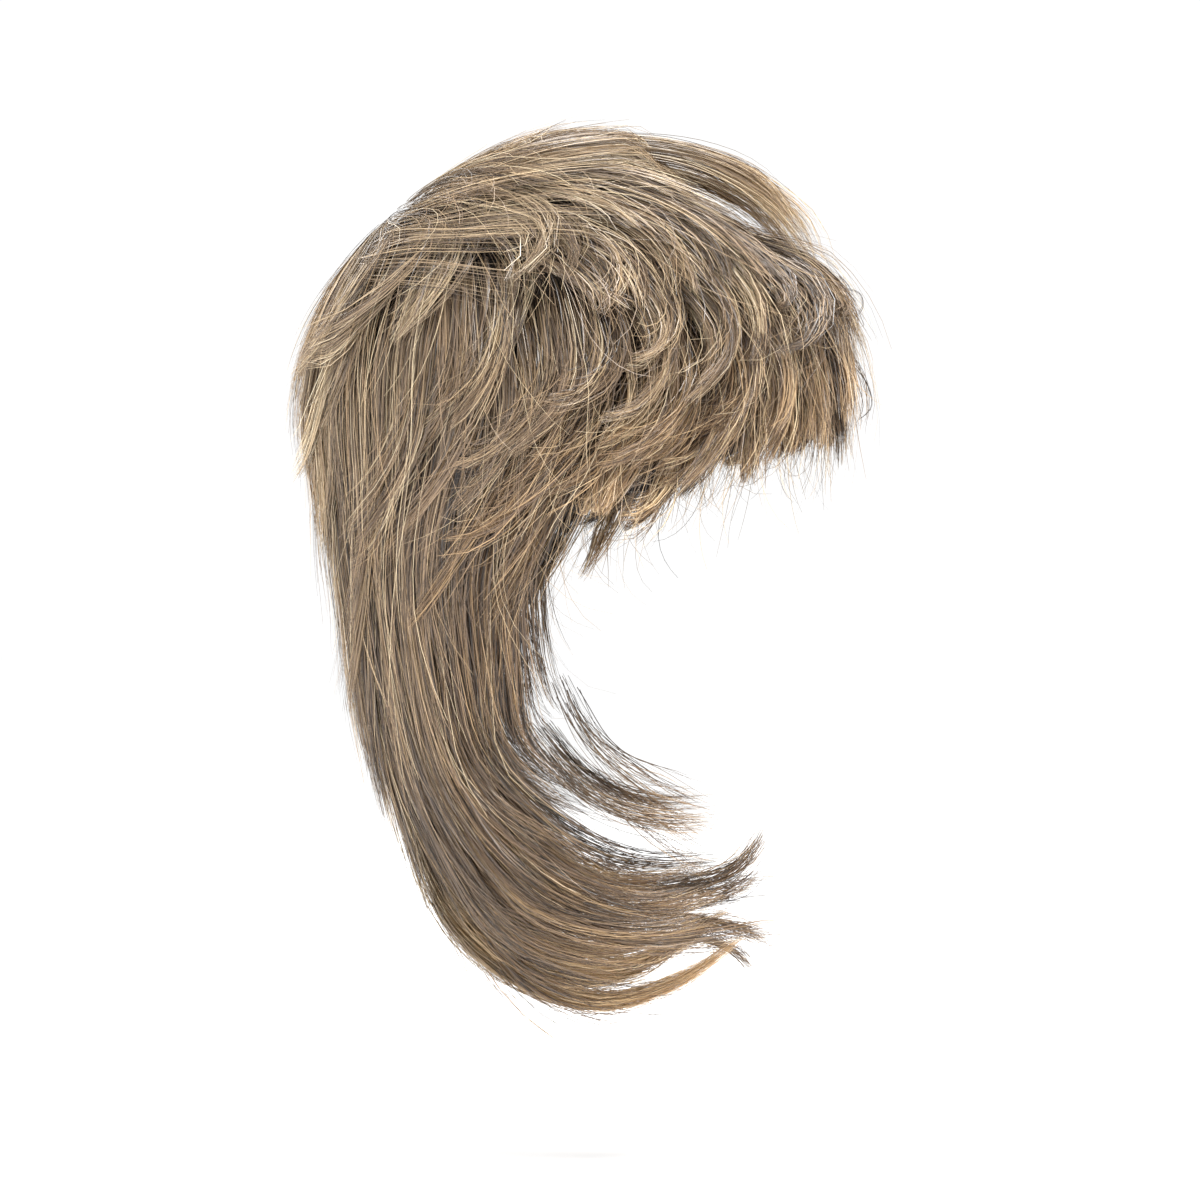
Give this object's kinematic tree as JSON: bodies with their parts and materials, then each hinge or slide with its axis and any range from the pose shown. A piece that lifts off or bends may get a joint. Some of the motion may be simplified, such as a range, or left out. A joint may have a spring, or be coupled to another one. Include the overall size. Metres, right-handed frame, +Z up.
{
  "type": "mullet wig",
  "caption": "Layered mullet wig: a net cap with a bound edge, tiered locks with a short fringe and sides, and a long tail that curls forward at the neck.",
  "frame": {"origin": "inside of the cap at its top, where the wig rests on the wearer's head", "axes": "+X towards the face side, +Y towards the wearer's left ear, +Z up"},
  "size_m": [0.2463, 0.1995, 0.3746],
  "materials": {
    "cap_net": "fine dark brown stretch net, matte",
    "edge_binding": "folded woven binding tape, matte, stitched",
    "hair_light": "fine synthetic fibre, ash blond, soft anisotropic gloss",
    "hair_middle": "fine synthetic fibre, greyish light brown, soft anisotropic gloss",
    "hair_dark": "fine synthetic fibre, medium brown, soft anisotropic gloss"
  },
  "bodies": {
    "root": {"cap_crown": "cap_net", "front_band": "edge_binding", "ear_band_left": "edge_binding", "nape_band": "edge_binding", "ear_band_right": "edge_binding", "whorl_locks_front": "hair_light", "whorl_locks_back": "hair_light", "crown_locks_front": "hair_light", "crown_locks_left": "hair_light", "crown_locks_back": "hair_light", "crown_locks_right": "hair_light", "upper_locks_front": "hair_middle", "upper_locks_left": "hair_middle", "upper_locks_back": "hair_middle", "upper_locks_right": "hair_middle", "middle_locks_fringe": "hair_middle", "middle_locks_left": "hair_middle", "middle_locks_tail_left": "hair_middle", "middle_locks_tail_back": "hair_middle", "middle_locks_tail_right": "hair_middle", "middle_locks_right": "hair_middle", "lower_locks_fringe": "hair_dark", "lower_locks_left": "hair_dark", "lower_locks_tail_left": "hair_dark", "lower_locks_tail_back": "hair_dark", "lower_locks_tail_right": "hair_dark", "lower_locks_right": "hair_dark", "edge_locks_fringe": "hair_dark", "edge_locks_left": "hair_dark", "edge_locks_tail_left": "hair_dark", "edge_locks_tail_back": "hair_dark", "edge_locks_tail_right": "hair_dark", "edge_locks_right": "hair_dark"}
  },
  "joints": []
}
